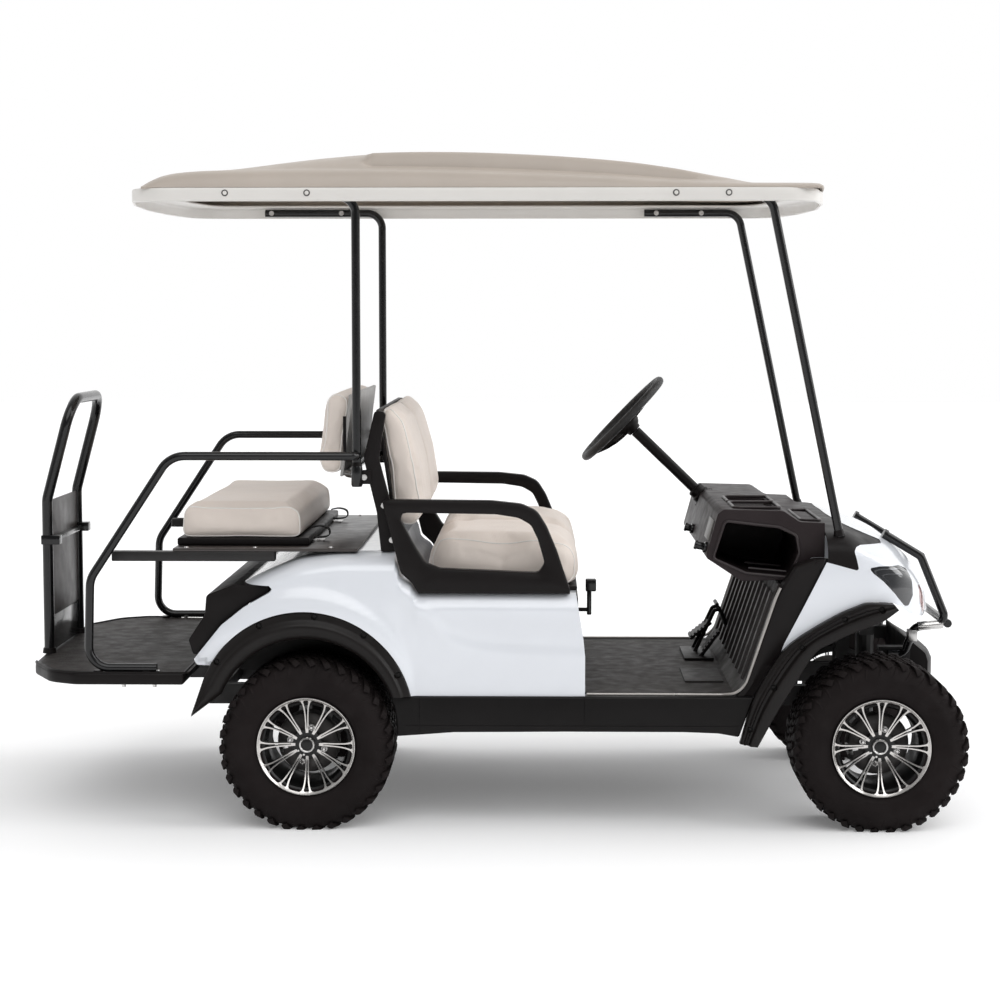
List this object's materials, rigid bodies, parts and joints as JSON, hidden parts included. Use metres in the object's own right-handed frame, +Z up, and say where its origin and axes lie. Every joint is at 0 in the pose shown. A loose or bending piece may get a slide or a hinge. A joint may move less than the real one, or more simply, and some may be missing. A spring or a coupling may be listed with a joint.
{
  "type": "lifted golf cart with rear-facing seat",
  "caption": "Open golf cart with a moulded roof on tube struts, a front bench, a rear-facing flip seat, a rear step with a handle and all-terrain wheels.",
  "frame": {"origin": "on the ground, at the middle of the overall length and width", "axes": "+X to the front of the cart, +Y to its left, +Z up"},
  "size_m": [2.7545, 1.25, 1.9743],
  "materials": {
    "white_paint": "glossy white moulded body panel",
    "black_plastic": "satin warm black moulding with a fine grain",
    "black_tube": "glossy black powder-coated tube",
    "black_steel": "satin black chassis paint",
    "roof_plastic": "stone-coloured moulded roof",
    "roof_rim_plastic": "pale rim band",
    "seat_vinyl": "beige seat vinyl",
    "tyre_rubber": "black rubber",
    "machined_alloy": "machined face with black pockets",
    "smoked_lens": "dark lamp lens",
    "floor_mat": "ribbed dark floor mat",
    "grey_panel": "dark grey plate"
  },
  "bodies": {
    "root": {"armrest_left": "black_plastic", "armrest_right": "black_plastic", "brush_guard": "black_tube", "chassis_frame": "black_steel", "cowl_top": "black_plastic", "dashboard": "black_plastic", "engine": "black_steel", "floor_pan": "floor_mat", "front_axle": "black_steel", "front_backrest": "seat_vinyl", "front_backrest_panel": "black_plastic", "front_bumper": "black_plastic", "front_cowl": "white_paint", "front_flare_left": "black_plastic", "front_flare_right": "black_plastic", "front_strut_left": "black_tube", "front_strut_right": "black_tube", "grab_rail_left": "black_tube", "grab_rail_right": "black_tube", "handle_panel": "grey_panel", "headlight_left": "smoked_lens", "headlight_right": "smoked_lens", "pedals": "black_plastic", "rear_axle": "black_steel", "rear_backrest": "seat_vinyl", "rear_backrest_panel": "black_plastic", "rear_body": "white_paint", "rear_deck": "grey_panel", "rear_flare_left": "black_plastic", "rear_flare_right": "black_plastic", "rear_handle": "black_tube", "rear_step": "black_plastic", "rear_strut_left": "black_tube", "rear_strut_right": "black_tube", "rear_tail": "black_plastic", "rocker_left": "black_plastic", "rocker_right": "black_plastic", "roof_crown": "roof_plastic", "roof_rim": "roof_rim_plastic", "seat_back_frame": "black_plastic", "seat_front_panel": "black_plastic", "steering_column": "black_plastic"},
    "steer_left": {"knuckle_left": "black_steel"},
    "steer_right": {"knuckle_right": "black_steel"},
    "front_wheel_left": {"tyre_front_left": "tyre_rubber", "rim_front_left": "machined_alloy"},
    "front_wheel_right": {"tyre_front_right": "tyre_rubber", "rim_front_right": "machined_alloy"},
    "rear_wheel_left": {"tyre_rear_left": "tyre_rubber", "rim_rear_left": "machined_alloy"},
    "rear_wheel_right": {"tyre_rear_right": "tyre_rubber", "rim_rear_right": "machined_alloy"},
    "steering": {"steering_wheel": "black_plastic"},
    "front_seat": {"front_seat_board": "black_plastic", "front_seat_cushion": "seat_vinyl"},
    "rear_seat": {"rear_seat_board": "black_plastic", "rear_seat_cushion": "seat_vinyl"}
  },
  "joints": [
    {"name": "steer_right_turn", "type": "hinge", "parent": "root", "child": "steer_right", "pos_m": [1.12375, -0.36, 0.243], "axis": [0, 0, 1], "range_deg": [-25, 25]},
    {"name": "steer_left_turn", "type": "hinge", "parent": "root", "child": "steer_left", "pos_m": [1.12375, 0.36, 0.243], "axis": [0, 0, 1], "range_deg": [-25, 25]},
    {"name": "steering_wheel_turn", "type": "hinge", "parent": "root", "child": "steering", "pos_m": [0.45275, 0.25, 1.1065], "axis": [-0.72, 0, 0.694], "range_deg": [-250, 250]},
    {"name": "front_wheel_right_spin", "type": "hinge", "parent": "steer_right", "child": "front_wheel_right", "pos_m": [1.12375, -0.505, 0.243], "axis": [0, 1, 0], "continuous": true},
    {"name": "front_wheel_left_spin", "type": "hinge", "parent": "steer_left", "child": "front_wheel_left", "pos_m": [1.12375, 0.505, 0.243], "axis": [0, 1, 0], "continuous": true},
    {"name": "rear_wheel_right_spin", "type": "hinge", "parent": "root", "child": "rear_wheel_right", "pos_m": [-0.52525, -0.505, 0.243], "axis": [0, 1, 0], "continuous": true},
    {"name": "rear_wheel_left_spin", "type": "hinge", "parent": "root", "child": "rear_wheel_left", "pos_m": [-0.52525, 0.505, 0.243], "axis": [0, 1, 0], "continuous": true},
    {"name": "front_seat_lift", "type": "hinge", "parent": "root", "child": "front_seat", "pos_m": [0.25975, 0, 0.69], "axis": [0, 1, 0], "range_deg": [0, 60]},
    {"name": "rear_seat_flip", "type": "hinge", "parent": "root", "child": "rear_seat", "pos_m": [-0.92025, 0, 0.8065], "axis": [0, -1, 0], "range_deg": [0, 180]}
  ],
  "couplings": [
    {"joint": "steer_left_turn", "follows": "steer_right_turn", "ratio": 1},
    {"joint": "steering_wheel_turn", "follows": "steer_right_turn", "ratio": 10}
  ]
}
